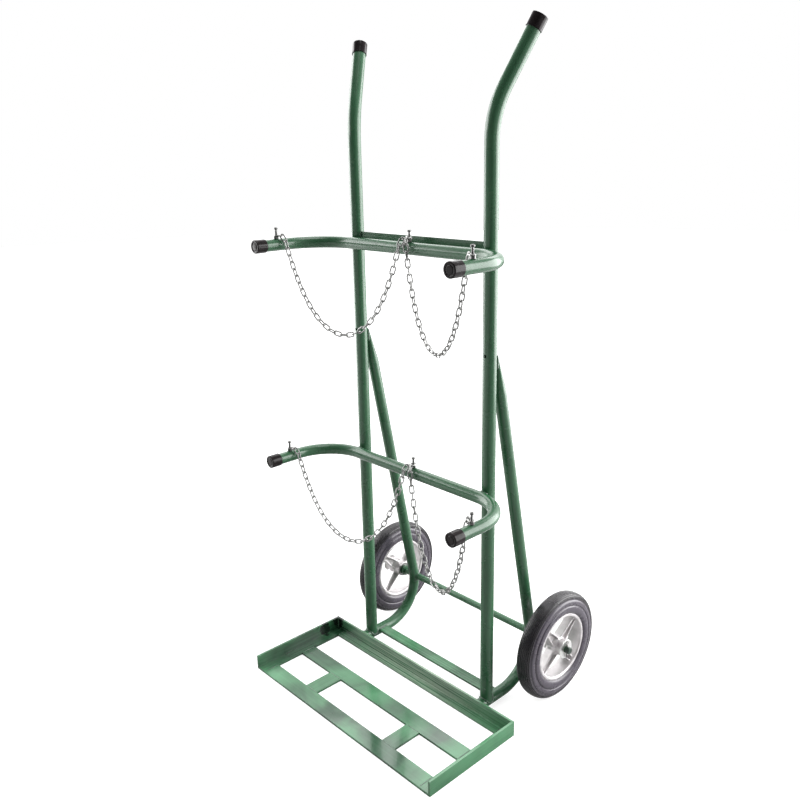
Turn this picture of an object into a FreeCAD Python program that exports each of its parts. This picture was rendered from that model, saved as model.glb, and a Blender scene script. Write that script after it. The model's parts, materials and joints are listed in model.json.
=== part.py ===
import FreeCAD, Part
import math
import os
import Sketcher
from FreeCAD import Placement, Rotation, Vector

# Two-bottle welding gas cart: two bent uprights, two U hoops with safety chains,
# two bent braces, a straight axle with two rubber wheels and an angle-iron tray.
# +X is the cart's left-to-right width, -Y the tray side, +Y the wheel side, +Z up.
# The origin is on the floor, under the middle of the whole cart.

os.makedirs("parts", exist_ok=True)
doc = FreeCAD.newDocument("cart")
sheet = doc.addObject("Spreadsheet::Sheet", "Sizes")

SIZES = [
    # frame tubes
    ("upright_diameter", 28.5), ("tube_diameter", 26.0), ("tube_wall", 2.0),
    ("upright_offset", 197.0), ("upright_foot", 20.0),
    ("handle_bend_start", 1226.0), ("handle_bend_radius", 200.0),
    ("handle_lean", 28.0), ("handle_splay", 36.4), ("handle_length", 130.0),
    ("cross_hole_height", 821.0), ("cross_hole_diameter", 7.0),
    # slip-on end caps
    ("cap_length", 26.0), ("cap_wall", 1.8), ("cap_end", 3.0), ("cap_rounding", 1.6),
    # hoops
    ("upper_hoop_height", 1019.0), ("lower_hoop_height", 524.5),
    ("hoop_half_width", 291.0), ("hoop_bend_radius", 100.0), ("hoop_reach", 209.0),
    # flat strip behind the upper hoop
    ("strip_thickness", 5.0), ("strip_height", 30.0), ("strip_bottom", 1012.0),
    # braces
    ("brace_foot_height", 20.0), ("brace_lean", 11.2), ("brace_bend_radius", 100.0),
    ("brace_taper_start", 740.0), ("brace_top", 817.0),
    ("brace_tip_width", 14.0), ("brace_tip_thickness", 6.0), ("brace_tip_solid", 12.0),
    # axle
    ("axle_diameter", 16.0), ("axle_back", 157.0), ("axle_height", 126.0),
    ("axle_half_length", 309.0), ("axle_chamfer", 1.5),
    ("collar_diameter", 26.0), ("collar_width", 8.0),
    ("washer_diameter", 36.0), ("washer_thickness", 2.5),
    ("pin_wire", 3.6), ("pin_offset", 299.5), ("pin_length", 34.0), ("pin_eye", 9.0),
    ("pin_play", 0.3), ("pin_drop", 3.0), ("pin_eye_sink", 1.0),
    # wheels
    ("wheel_offset", 268.0), ("wheel_diameter", 252.0),
    ("tyre_half_width", 22.0), ("tyre_bore", 152.0), ("tread_half_width", 13.0),
    ("tread_groove", 2.6), ("groove_half_width", 0.3), ("tread_rib_edge", 0.9),
    ("rim_half_width", 18.0), ("rim_lip_diameter", 160.0), ("rim_lip_width", 3.0),
    ("rim_thickness", 4.0), ("rim_flare", 3.0), ("rim_edge", 2.0),
    ("boss_diameter", 38.0), ("boss_half_length", 26.0), ("boss_flare", 4.0),
    ("bush_diameter", 22.0), ("bush_clearance", 0.05), ("hub_play", 0.2),
    ("spoke_inner_half", 13.0), ("spoke_outer_half", 6.5), ("spoke_thickness", 5.0),
    ("spoke_rib", 3.5), ("rib_half_height", 11.0), ("spoke_sink", 3.0),
    # tray
    ("tray_half_width", 301.0), ("tray_front", 283.0), ("tray_back", 27.0),
    ("angle_height", 35.0), ("angle_leg", 31.0), ("angle_thickness", 5.0),
    ("back_angle_leg", 27.0),
    ("bar_width", 40.0), ("middle_bar_back", 131.0), ("cross_bar_offset", 135.0),
    # flat bar between the brace feet
    ("foot_bar_width", 28.0), ("foot_bar_top", 27.0),
    # chain studs
    ("stud_diameter", 6.0), ("stud_rise", 25.0), ("stud_depth", 5.0),
    ("hex_width", 10.0), ("head_thickness", 4.0), ("nut_thickness", 5.0),
    ("stud_reach", 154.0),
    # chains
    ("wire", 3.0), ("link_inner_length", 16.1), ("link_inner_width", 6.6),
    ("link_play", 0.5), ("shoulder_slope", 54.0), ("middle_fan", 25.0),
]


class Size:
    """A number together with the sheet formula it comes from."""

    def __init__(self, value, text):
        self.value, self.text = value, text

    @staticmethod
    def of(item):
        return item if isinstance(item, Size) else Size(float(item), "(%r)" % float(item))

    def join(self, other, sign, value):
        return Size(value, "(%s %s %s)" % (self.text, sign, other.text))

    def __add__(self, other):
        other = Size.of(other)
        return self.join(other, "+", self.value + other.value)

    def __sub__(self, other):
        other = Size.of(other)
        return self.join(other, "-", self.value - other.value)

    def __mul__(self, other):
        other = Size.of(other)
        return self.join(other, "*", self.value * other.value)

    def __truediv__(self, other):
        other = Size.of(other)
        return self.join(other, "/", self.value / other.value)

    def __radd__(self, other):
        return Size.of(other) + self

    def __rsub__(self, other):
        return Size.of(other) - self

    def __rmul__(self, other):
        return Size.of(other) * self

    def __neg__(self):
        return Size.of(-1) * self


class Sizes:
    """Every sheet cell as an attribute: s.tube_diameter and so on."""


s = Sizes()
for row, (name, number) in enumerate(SIZES, start=1):
    sheet.set("A%d" % row, name)
    sheet.set("B%d" % row, repr(number))
    sheet.setAlias("B%d" % row, name)
    setattr(s, name, Size(number, "Sizes.%s" % name))
doc.recompute()

NODES = []
SMALLEST_CUT = 1e-3  # a pocket that takes away less than this volume has missed its body


def sine(angle):
    return Size(math.sin(math.radians(angle.value)), "sin(%s * 1 deg)" % angle.text)


def cosine(angle):
    return Size(math.cos(math.radians(angle.value)), "cos(%s * 1 deg)" % angle.text)


def tangent(angle):
    return Size(math.tan(math.radians(angle.value)), "tan(%s * 1 deg)" % angle.text)


def bind(item, path, size):
    item.setExpression(path, Size.of(size).text)


def place(item, x=0, y=0, z=0, turn=None):
    """Put an object at x, y, z (sizes or numbers), turned by a rotation."""
    x, y, z = Size.of(x), Size.of(y), Size.of(z)
    item.Placement = Placement(Vector(x.value, y.value, z.value), turn or Rotation())
    for axis, size in (("x", x), ("y", y), ("z", z)):
        bind(item, "Placement.Base.%s" % axis, size)


def node(item, name):
    item.Label = name
    NODES.append(item)
    return item


# ---------------------------------------------------------------- sketches and bodies

def new_body(name):
    return doc.addObject("PartDesign::Body", name)


def plane_of(body, role):
    return next(item for item in body.Origin.OriginFeatures if item.Role == role)


def new_sketch(body, role, name, offset=0, along=(0, 0)):
    """Sketch on an origin plane, moved along its normal and inside the plane."""
    sketch = body.newObject("Sketcher::SketchObject", name)
    sketch.AttachmentSupport = (plane_of(body, role), [""])
    sketch.MapMode = "FlatFace"
    spots = [Size.of(along[0]), Size.of(along[1]), Size.of(offset)]
    sketch.AttachmentOffset = Placement(Vector(*[spot.value for spot in spots]), Rotation())
    for axis, spot in zip("xyz", spots):
        bind(sketch, "AttachmentOffset.Base.%s" % axis, spot)
    return sketch


def pin_point(sketch, geometry, vertex, x, y):
    """Dimension one vertex from the sketch origin with sheet formulas."""
    for kind, size in (("DistanceX", Size.of(x)), ("DistanceY", Size.of(y))):
        number = sketch.addConstraint(
            Sketcher.Constraint(kind, -1, 1, geometry, vertex, size.value))
        sketch.setExpression("Constraints[%d]" % number, size.text)


def polygon(sketch, points):
    """Closed outline through the points, every corner dimensioned."""
    corners = [(Size.of(x), Size.of(y)) for x, y in points]
    spots = [Vector(x.value, y.value, 0) for x, y in corners]
    sides = [sketch.addGeometry(Part.LineSegment(here, there), False)
             for here, there in zip(spots, spots[1:] + spots[:1])]
    rules = []
    for side, after, (x, y) in zip(sides, sides[1:] + sides[:1], corners):
        rules.append((Sketcher.Constraint("Coincident", side, 2, after, 1), None))
        rules.append((Sketcher.Constraint("DistanceX", -1, 1, side, 1, x.value), x))
        rules.append((Sketcher.Constraint("DistanceY", -1, 1, side, 1, y.value), y))
    numbers = sketch.addConstraint([rule for rule, _ in rules])
    for number, (_, size) in zip(numbers, rules):
        if size is not None:
            sketch.setExpression("Constraints[%d]" % number, size.text)


def circle(sketch, radius, x=0, y=0):
    radius, x, y = Size.of(radius), Size.of(x), Size.of(y)
    round_line = Part.Circle(Vector(x.value, y.value, 0), Vector(0, 0, 1), radius.value)
    geometry = sketch.addGeometry(round_line, False)
    pin_point(sketch, geometry, 3, x, y)
    number = sketch.addConstraint(Sketcher.Constraint("Radius", geometry, radius.value))
    sketch.setExpression("Constraints[%d]" % number, radius.text)


def ellipse(sketch, long_radius, short_radius):
    long_radius, short_radius = Size.of(long_radius), Size.of(short_radius)
    geometry = sketch.addGeometry(Part.Ellipse(
        Vector(long_radius.value, 0, 0), Vector(0, short_radius.value, 0), Vector(0, 0, 0)), False)
    sketch.exposeInternalGeometry(geometry)
    major, minor = geometry + 1, geometry + 2
    pin_point(sketch, major, 1, long_radius, 0)
    pin_point(sketch, major, 2, -long_radius, 0)
    number = sketch.addConstraint(
        Sketcher.Constraint("Distance", minor, 1, minor, 2, 2 * short_radius.value))
    sketch.setExpression("Constraints[%d]" % number, (2 * short_radius).text)


def bent_path(sketch, start, lines, radius):
    """Open path of straight runs joined by tangent bends of one radius.

    start is the first point; lines lists where each straight run would end if the runs
    met in sharp corners, the last one being the free end of the path.
    """
    radius = Size.of(radius)
    points = [(Size.of(x), Size.of(y)) for x, y in [start] + lines]
    spots = [Vector(x.value, y.value, 0) for x, y in points]
    straights, bends, cursor = [], [], spots[0]
    for index in range(1, len(spots) - 1):
        corner = spots[index]
        heading, turn = (corner - spots[index - 1]), (spots[index + 1] - corner)
        heading.normalize()
        turn.normalize()
        swing = heading.getAngle(turn)
        cut = radius.value * math.tan(swing / 2)
        stop, resume = corner - heading * cut, corner + turn * cut
        centre = corner + (turn - heading).normalize() * (radius.value / math.cos(swing / 2))
        leftwards = heading.cross(turn).z > 0
        first, second = (stop, resume) if leftwards else (resume, stop)
        angles = [math.atan2(spot.y - centre.y, spot.x - centre.x) for spot in (first, second)]
        if angles[1] < angles[0]:
            angles[1] += 2 * math.pi
        ring = Part.Circle(centre, Vector(0, 0, 1), radius.value)
        straights.append((cursor, stop))
        bends.append((Part.ArcOfCircle(ring, *angles), leftwards))
        cursor = resume
    straights.append((cursor, spots[-1]))

    lines_at = [sketch.addGeometry(Part.LineSegment(*ends), False) for ends in straights]
    bends_at = [sketch.addGeometry(bend, False) for bend, _ in bends]
    marks_at = [sketch.addGeometry(Part.Point(spot), True) for spot in spots[1:-1]]

    rules = []
    for geometry, vertex, (x, y) in [(lines_at[0], 1, points[0]), (lines_at[-1], 2, points[-1])] \
            + [(mark, 1, point) for mark, point in zip(marks_at, points[1:-1])]:
        rules.append((Sketcher.Constraint("DistanceX", -1, 1, geometry, vertex, x.value), x))
        rules.append((Sketcher.Constraint("DistanceY", -1, 1, geometry, vertex, y.value), y))
    for index, (bend, mark) in enumerate(zip(bends_at, marks_at)):
        before, after = lines_at[index], lines_at[index + 1]
        first, second = (1, 2) if bends[index][1] else (2, 1)
        rules.append((Sketcher.Constraint("Tangent", bend, first, before, 2), None))
        rules.append((Sketcher.Constraint("Tangent", bend, second, after, 1), None))
        rules.append((Sketcher.Constraint("Radius", bend, radius.value), radius))
        rules.append((Sketcher.Constraint("PointOnObject", mark, 1, before), None))
        rules.append((Sketcher.Constraint("PointOnObject", mark, 1, after), None))
    numbers = sketch.addConstraint([rule for rule, _ in rules])
    for number, (_, size) in zip(numbers, rules):
        if size is not None:
            sketch.setExpression("Constraints[%d]" % number, size.text)


def feature(body, kind, name, **settings):
    item = body.newObject("PartDesign::%s" % kind, name)
    for key, value in settings.items():
        setattr(item, key, value)
    return item


def pad(body, sketch, length, name, midplane=False):
    item = feature(body, "Pad", name, Profile=sketch)
    if midplane:
        item.SideType = "Symmetric"
    item.Length = Size.of(length).value
    bind(item, "Length", length)
    return item


def pocket(body, sketch, depth, name):
    """Pocket that is turned round when its first direction removes nothing."""
    doc.recompute()
    before = body.Shape.Volume
    item = feature(body, "Pocket", name, Profile=sketch)
    item.Length = Size.of(depth).value
    bind(item, "Length", depth)
    doc.recompute()
    if item.Shape.isNull() or before - item.Shape.Volume < SMALLEST_CUT:
        item.Reversed = True
    return item


def revolve(body, sketch, axis, name):
    return feature(body, "Revolution", name, Profile=sketch, Angle=360.0,
                   ReferenceAxis=(sketch, [axis]))


def around(body, originals, count, sketch, axis, name):
    item = feature(body, "PolarPattern", name, Originals=originals,
                   Axis=(sketch, [axis]), Angle=360.0, Occurrences=count)
    body.Tip = item
    return item


def cylinder(name, radius, height):
    item = doc.addObject("Part::Cylinder", name)
    bind(item, "Radius", radius)
    bind(item, "Height", height)
    return item


def box(name, length, width, height):
    item = doc.addObject("Part::Box", name)
    bind(item, "Length", length)
    bind(item, "Width", width)
    bind(item, "Height", height)
    return item


def cut(name, base, tool):
    item = doc.addObject("Part::Cut", name)
    item.Base, item.Tool = base, tool
    return item


def fuse(name, shapes):
    item = doc.addObject("Part::MultiFuse", name)
    item.Shapes = shapes
    return item


def group(name, items):
    item = doc.addObject("Part::Compound", name)
    item.Links = items
    return item


THROUGH = 100.0  # length of a cutting tool that passes right through a tube
OVERRUN = 10.0  # how far a shorter tool stands clear of the face it starts from
ALONG_X = Rotation(Vector(0, 1, 0), 90)
ALONG_BACK = Rotation(Vector(1, 0, 0), -90)
ALONG_FRONT = Rotation(Vector(1, 0, 0), 90)
SIDES = (("left", -1), ("right", 1))

upright_radius = s.upright_diameter / 2
tube_radius = s.tube_diameter / 2
hoop_back = -(upright_radius + tube_radius)
axle_radius = s.axle_diameter / 2


# ---------------------------------------------------------------- uprights and handle caps

def hollow_tube(name, role, start, lines, bend_radius, radius, profile_role, profile_offset,
                profile_along):
    """Body with a bent tube: a ring section swept along its path."""
    body = new_body(name)
    path = new_sketch(body, role, name + "Path")
    bent_path(path, start, lines, bend_radius)
    section = new_sketch(body, profile_role, name + "Section", profile_offset, profile_along)
    circle(section, radius)
    circle(section, radius - s.tube_wall)
    feature(body, "AdditivePipe", name + "Sweep", Profile=section, Spine=(path, []))
    doc.recompute()
    return body


bend_drop = s.handle_bend_radius * tangent(s.handle_lean / 2)
handle_corner = s.handle_bend_start + bend_drop
handle_run = bend_drop + s.handle_length
handle_out = handle_run * sine(s.handle_lean)
handle_top = handle_corner + handle_run * cosine(s.handle_lean)

for side, sign in SIDES:
    turn = 90 - sign * s.handle_splay.value
    body = hollow_tube(
        side + "_upright_tube", "XZ_Plane", (0, s.upright_foot),
        [(0, handle_corner), (handle_out, handle_top)], s.handle_bend_radius, upright_radius,
        "XY_Plane", s.upright_foot, (0, 0))
    place(body, x=sign * s.upright_offset, turn=Rotation(Vector(0, 0, 1), turn))

    saddle = cylinder(side + "_saddle_tool", tube_radius, THROUGH)
    place(saddle, sign * s.upright_offset, -THROUGH / 2, s.brace_foot_height, ALONG_BACK)
    drill = cylinder(side + "_drill_tool", s.cross_hole_diameter / 2, THROUGH)
    place(drill, sign * s.upright_offset, -THROUGH / 2, s.cross_hole_height, ALONG_BACK)
    footed = cut(side + "_upright_footed", body, saddle)
    node(cut(side + "_upright_drilled", footed, drill), side + "_upright")


def end_cap(name, radius):
    """Cup that slips over a tube end; local Z is outwards and 0 the tube's end face."""
    body = new_body(name)
    outer = radius + s.cap_wall
    outline = new_sketch(body, "XZ_Plane", name + "Outline")
    polygon(outline, [(0, 0), (radius, 0), (radius, s.cap_end - s.cap_length),
                      (outer, s.cap_end - s.cap_length), (outer, s.cap_end - s.cap_rounding),
                      (outer - s.cap_rounding, s.cap_end), (0, s.cap_end)])
    revolve(body, outline, "V_Axis", name + "Turned")
    return body


for side, sign in SIDES:
    cap = end_cap(side + "_handle_cap", upright_radius)
    splay = math.radians(s.handle_splay.value)
    lean = math.radians(s.handle_lean.value)
    outward = Vector(sign * math.sin(lean) * math.sin(splay),
                     math.sin(lean) * math.cos(splay), math.cos(lean))
    place(cap, sign * (s.upright_offset + handle_out * sine(s.handle_splay)),
          handle_out * cosine(s.handle_splay), handle_top,
          Rotation(Vector(0, 0, 1), outward))
    node(cap, side + "_handle_cap")


# ---------------------------------------------------------------- hoops and their caps

stud_spots = [("left", -s.hoop_half_width, -s.stud_reach), ("middle", Size.of(0), hoop_back),
              ("right", s.hoop_half_width, -s.stud_reach)]

for level, height in (("upper", s.upper_hoop_height), ("lower", s.lower_hoop_height)):
    wide, reach = s.hoop_half_width, s.hoop_reach
    body = hollow_tube(
        level + "_hoop", "XY_Plane", (-wide, -reach),
        [(-wide, hoop_back), (wide, hoop_back), (wide, -reach)], s.hoop_bend_radius,
        tube_radius, "XZ_Plane", reach, (-wide, 0))
    place(body, z=height)
    holes = new_sketch(body, "XY_Plane", level + "_stud_holes", tube_radius + OVERRUN)
    for spot, x, y in stud_spots:
        circle(holes, s.stud_diameter / 2, x, y)
    pocket(body, holes, s.stud_depth + OVERRUN, level + "_stud_drilling")
    node(body, level + "_hoop")
    for side, sign in SIDES:
        cap = end_cap("%s_%s_hoop_cap" % (level, side), tube_radius)
        place(cap, sign * wide, -reach, height, ALONG_FRONT)
        node(cap, "%s_%s_hoop_cap" % (level, side))


# ---------------------------------------------------------------- strip between the uprights

strip = box("strip_blank", 2 * s.upright_offset, s.strip_thickness, s.strip_height)
place(strip, -s.upright_offset, -s.strip_thickness / 2, s.strip_bottom)
for side, sign in SIDES:
    tool = cylinder(side + "_strip_tool", upright_radius, s.strip_height + 2 * OVERRUN)
    place(tool, sign * s.upright_offset, 0, s.strip_bottom - OVERRUN)
    strip = cut("strip_%s_end" % side, strip, tool)
node(strip, "upper_cross_strip")


# ---------------------------------------------------------------- braces

def brace(side, sign):
    """Bent tube from the tray up round the axle to a pinched tip on the upright."""
    name = side + "_brace"
    slope = tangent(s.brace_lean)
    tip_back = upright_radius + s.brace_tip_thickness / 2
    corner = tip_back + (s.brace_top - s.brace_foot_height) * slope
    shoulder = tip_back + (s.brace_top - s.brace_taper_start) * slope
    body = hollow_tube(
        name, "YZ_Plane", (-s.tray_back, s.brace_foot_height),
        [(corner, s.brace_foot_height), (shoulder, s.brace_taper_start)],
        s.brace_bend_radius, tube_radius, "XZ_Plane", s.tray_back, (0, s.brace_foot_height))

    square_on = Rotation(Vector(1, 0, 0), s.brace_lean.value)
    for part, kind, radius, half_width, half_thickness, top in (
            ("Tip", "AdditiveLoft", tube_radius, s.brace_tip_width / 2,
             s.brace_tip_thickness / 2, s.brace_top),
            ("TipBore", "SubtractiveLoft", tube_radius - s.tube_wall, s.brace_tip_width / 4,
             s.brace_tip_thickness / 6, s.brace_top - s.brace_tip_solid)):
        ring = new_sketch(body, "XY_Plane", name + part + "Ring", s.brace_taper_start,
                          (0, shoulder))
        ring.AttachmentOffset = Placement(ring.AttachmentOffset.Base, square_on)
        circle(ring, radius)
        end = new_sketch(body, "XY_Plane", name + part + "End", top, (0, tip_back))
        ellipse(end, half_width, half_thickness)
        doc.recompute()
        feature(body, kind, name + part, Profile=ring, Sections=[(end, [""])], Ruled=False)
        doc.recompute()

    bore = new_sketch(body, "YZ_Plane", name + "AxleHole", -s.tube_diameter)
    circle(bore, axle_radius, s.axle_back, s.axle_height)
    pocket(body, bore, 2 * s.tube_diameter, name + "AxleDrilling")
    place(body, x=sign * s.upright_offset)
    return body


for side, sign in SIDES:
    node(brace(side, sign), side + "_brace")

foot_bar = box("foot_bar_blank", 2 * s.upright_offset, s.foot_bar_width, s.angle_thickness)
place(foot_bar, -s.upright_offset, upright_radius, s.foot_bar_top - s.angle_thickness)
for side, sign in SIDES:
    tool = cylinder(side + "_foot_bar_tool", tube_radius, THROUGH)
    place(tool, sign * s.upright_offset, -THROUGH / 2, s.brace_foot_height, ALONG_BACK)
    foot_bar = cut("foot_bar_%s_end" % side, foot_bar, tool)
node(foot_bar, "foot_cross_bar")


# ---------------------------------------------------------------- tray

def angle_profile(body, name, role, offset):
    """L outline: upright leg at 0, flat leg to positive first coordinate."""
    outline = new_sketch(body, role, name + "Outline", offset)
    polygon(outline, [(0, 0), (s.angle_leg, 0), (s.angle_leg, s.angle_thickness),
                      (s.angle_thickness, s.angle_thickness),
                      (s.angle_thickness, s.angle_height), (0, s.angle_height)])
    return outline


tray_depth = s.tray_front - s.tray_back
for side, sign in SIDES:
    name = "tray_%s_angle" % side
    body = new_body(name)
    pad(body, angle_profile(body, name, "XZ_Plane", 0), tray_depth, name + "Pad", midplane=True)
    place(body, sign * s.tray_half_width, -(s.tray_front + s.tray_back) / 2, 0,
          Rotation(Vector(0, 0, 1), 0 if sign < 0 else 180))
    node(body, name)

# the back angle is coped: its upright leg runs over the flat legs of the side angles
flat_half = s.tray_half_width - s.angle_leg
lip_half = s.tray_half_width - s.angle_thickness
back_angle = fuse("tray_back_angle", [
    box("back_angle_lip", 2 * lip_half, s.angle_thickness, s.angle_height - s.angle_thickness),
    box("back_angle_flat", 2 * flat_half, s.back_angle_leg, s.angle_thickness)])
place(back_angle.Shapes[0], -lip_half, -s.tray_back - s.angle_thickness, s.angle_thickness)
place(back_angle.Shapes[1], -flat_half, -s.tray_back - s.back_angle_leg, 0)
back_angle.Refine = True
node(back_angle, "tray_back_angle")

front_bar = box("tray_front_bar", 2 * flat_half, s.bar_width, s.angle_thickness)
place(front_bar, -flat_half, -s.tray_front, 0)
node(front_bar, "tray_front_bar")
middle_bar = box("tray_middle_bar", 2 * flat_half, s.bar_width, s.angle_thickness)
place(middle_bar, -flat_half, -s.middle_bar_back - s.bar_width, 0)
node(middle_bar, "tray_middle_bar")
bar_gap = s.tray_front - s.middle_bar_back - 2 * s.bar_width
for side, sign in SIDES:
    bar = box("tray_%s_cross_bar" % side, s.bar_width, bar_gap, s.angle_thickness)
    place(bar, sign * s.cross_bar_offset - s.bar_width / 2, -s.tray_front + s.bar_width, 0)
    node(bar, "tray_%s_cross_bar" % side)


# ---------------------------------------------------------------- axle and its hardware

axle = new_body("axle_rod")
section = new_sketch(axle, "YZ_Plane", "AxleSection")
circle(section, axle_radius)
bar = pad(axle, section, 2 * s.axle_half_length, "AxleBar", midplane=True)
doc.recompute()
ends = ["Edge%d" % (index + 1) for index, edge in enumerate(bar.Shape.Edges)
        if abs(abs(edge.CenterOfMass.x) - s.axle_half_length.value) < 1e-6]
feature(axle, "Chamfer", "AxleChamfer", Base=(bar, ends), Size=s.axle_chamfer.value)
pins = new_sketch(axle, "XY_Plane", "PinHoles", -THROUGH / 2)
for side, sign in SIDES:
    circle(pins, s.pin_wire / 2 + s.pin_play, sign * s.pin_offset, 0)
pocket(axle, pins, THROUGH, "PinDrilling")
place(axle, 0, s.axle_back, s.axle_height)
node(axle, "axle_rod")


def ring(name, outer, inner, start, length, sign):
    """Plain ring on the axle, from start to start + length away from the middle."""
    body = new_body(name)
    section = new_sketch(body, "YZ_Plane", name + "Section")
    circle(section, outer)
    circle(section, inner)
    pad(body, section, length, name + "Pad")
    place(body, sign * start, s.axle_back, s.axle_height,
          Rotation(Vector(0, 0, 1), 0 if sign > 0 else 180))
    return body


boss_in = s.wheel_offset - s.boss_half_length
boss_out = s.wheel_offset + s.boss_half_length
collars, inner_washers, outer_washers, split_pins = [], [], [], []
for side, sign in SIDES:
    washer_in = boss_in - s.hub_play - s.washer_thickness
    collars.append(ring(side + "_collar", s.collar_diameter / 2, axle_radius,
                        washer_in - s.collar_width, s.collar_width, sign))
    inner_washers.append(ring(side + "_inner_washer", s.washer_diameter / 2, axle_radius,
                              washer_in, s.washer_thickness, sign))
    outer_washers.append(ring(side + "_outer_washer", s.washer_diameter / 2, axle_radius,
                              boss_out + s.hub_play, s.washer_thickness, sign))

    wire = s.pin_wire / 2
    leg_foot = s.axle_height - s.pin_length / 2 - s.pin_drop
    eye_middle = leg_foot + s.pin_length + s.pin_eye / 2 - s.pin_eye_sink
    leg = cylinder(side + "_pin_legs", wire, s.pin_length)
    place(leg, sign * s.pin_offset, s.axle_back, leg_foot)
    eye = doc.addObject("Part::Torus", side + "_pin_eye")
    bind(eye, "Radius1", s.pin_eye / 2 - wire / 2)
    bind(eye, "Radius2", wire / 2)
    place(eye, sign * s.pin_offset, s.axle_back, eye_middle, ALONG_X)
    split_pins.append(fuse(side + "_split_pin", [leg, eye]))
    split_pins[-1].Refine = True
node(group("axle_collar_pair", collars), "axle_collars")
node(group("inner_washer_pair", inner_washers), "inner_wheel_washers")
node(group("outer_washer_pair", outer_washers), "outer_wheel_washers")
node(group("split_pin_pair", split_pins), "axle_split_pins")


# ---------------------------------------------------------------- wheels

TREAD_RIBS = 5
RIB_DROP = (0.0, 0.3, 1.4)  # tread ribs sit lower towards the shoulders: middle, next, outer
SPOKES = 4
SPOKE_TURN = {"left": 42, "right": 40}

# side of the tyre from the bead outwards: how far in from the widest point, and how far
# out from the rim's lip
TYRE_FLANK = (
    (3.0, 1.0), (1.0, 4.0),  # bead
    (0.0, 8.0), (0.0, 14.0), (1.0, 17.0),  # flat band
    (3.0, 18.0), (3.0, 20.0),  # step
    (1.6, 22.0), (2.0, 27.0), (3.5, 30.0),  # shoulder band
    (5.4, 31.0), (5.4, 33.0),  # groove
    (5.0, 36.0), (7.6, 41.0),  # shoulder
)


def tyre_outline():
    """Half section of the solid rubber tyre as (across, radius) corners."""
    tread, bore, rim = s.wheel_diameter / 2, s.tyre_bore / 2, s.rim_lip_diameter / 2
    seat = s.rim_half_width - s.rim_lip_width
    flank = [(seat, bore), (seat, rim), (s.rim_half_width, rim)]
    flank += [(s.tyre_half_width - inset, rim + out) for inset, out in TYRE_FLANK]
    spacing = 2 * s.tread_half_width / TREAD_RIBS
    ribs = []
    for number in range(TREAD_RIBS):
        start = number * spacing - s.tread_half_width
        end = start + spacing
        top = tread - RIB_DROP[abs(number - TREAD_RIBS // 2)]
        ribs += [(start + s.tread_rib_edge, top), (end - s.tread_rib_edge, top)]
        if number < TREAD_RIBS - 1:
            ribs += [(end - s.groove_half_width, tread - s.tread_groove),
                     (end + s.groove_half_width, tread - s.tread_groove)]
    return [(-across, radius) for across, radius in flank] + ribs + flank[::-1]


def hub_body(name):
    """Cast hub: boss, four tapered spokes with ribbed edges and a flanged rim."""
    hub = new_body(name)
    boss, bore, length = s.boss_diameter / 2, s.bush_diameter / 2, s.boss_half_length
    core = new_sketch(hub, "XZ_Plane", name + "_core")
    polygon(core, [(-length, bore), (length, bore), (length, boss), (length / 2, boss),
                   (s.spoke_thickness, boss + s.boss_flare),
                   (-s.spoke_thickness, boss + s.boss_flare), (-length / 2, boss),
                   (-length, boss)])
    revolve(hub, core, "H_Axis", name + "_core_turned")
    doc.recompute()

    seat, lip = s.tyre_bore / 2, s.rim_lip_diameter / 2
    inside = seat - s.rim_thickness
    root, tip = boss - s.spoke_sink, inside + s.rim_thickness / 2
    wide, narrow, rib = s.spoke_inner_half, s.spoke_outer_half, s.spoke_rib
    plate = new_sketch(hub, "YZ_Plane", name + "_spoke_outline")
    polygon(plate, [(-wide, root), (wide, root), (narrow, tip), (-narrow, tip)])
    spoke = pad(hub, plate, s.spoke_thickness, name + "_spoke", midplane=True)
    doc.recompute()
    edges = new_sketch(hub, "YZ_Plane", name + "_rib_outline")
    for sign in (-1, 1):
        polygon(edges, [(sign * wide, root), (sign * narrow, tip),
                        (sign * (narrow - rib), tip), (sign * (wide - rib), root)])
    ribs = pad(hub, edges, 2 * s.rib_half_height, name + "_ribs", midplane=True)
    doc.recompute()
    around(hub, [spoke, ribs], SPOKES, core, "H_Axis", name + "_spokes")
    doc.recompute()

    half, flange = s.rim_half_width, s.rim_half_width - s.rim_lip_width
    edge, waist = seat - s.rim_edge, half - s.rim_flare
    rim = new_sketch(hub, "XZ_Plane", name + "_rim")
    polygon(rim, [(-half, edge), (-half, lip), (-flange, lip), (-flange, seat),
                  (flange, seat), (flange, lip), (half, lip), (half, edge),
                  (waist, inside), (-waist, inside)])
    revolve(hub, rim, "H_Axis", name + "_rim_turned")
    doc.recompute()
    return hub


for side, sign in SIDES:
    facing = Rotation(Vector(0, 0, 1), 0 if sign > 0 else 180)

    tyre = new_body(side + "_tyre_body")
    outline = new_sketch(tyre, "XZ_Plane", side + "_tyre_outline")
    polygon(outline, tyre_outline())
    revolve(tyre, outline, "H_Axis", side + "_tyre_turned")
    place(tyre, sign * s.wheel_offset, s.axle_back, s.axle_height, facing)
    node(tyre, side + "_wheel_tyre")

    hub = hub_body(side + "_hub")
    spokes_at = Rotation(Vector(1, 0, 0), SPOKE_TURN[side])
    place(hub, sign * s.wheel_offset, s.axle_back, s.axle_height, facing * spokes_at)
    node(hub, side + "_wheel_hub")

    bush = ring(side + "_bush", s.bush_diameter / 2, axle_radius + s.bush_clearance,
                boss_in, 2 * s.boss_half_length, sign)
    node(bush, side + "_wheel_bush")


# ---------------------------------------------------------------- chain studs and nuts

def hexagon(name, width, thickness):
    item = doc.addObject("Part::Prism", name)
    item.Polygon = 6
    bind(item, "Circumradius", width / 2 / Size(math.cos(math.pi / 6), "cos(30 deg)"))
    bind(item, "Height", thickness)
    return item


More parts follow.
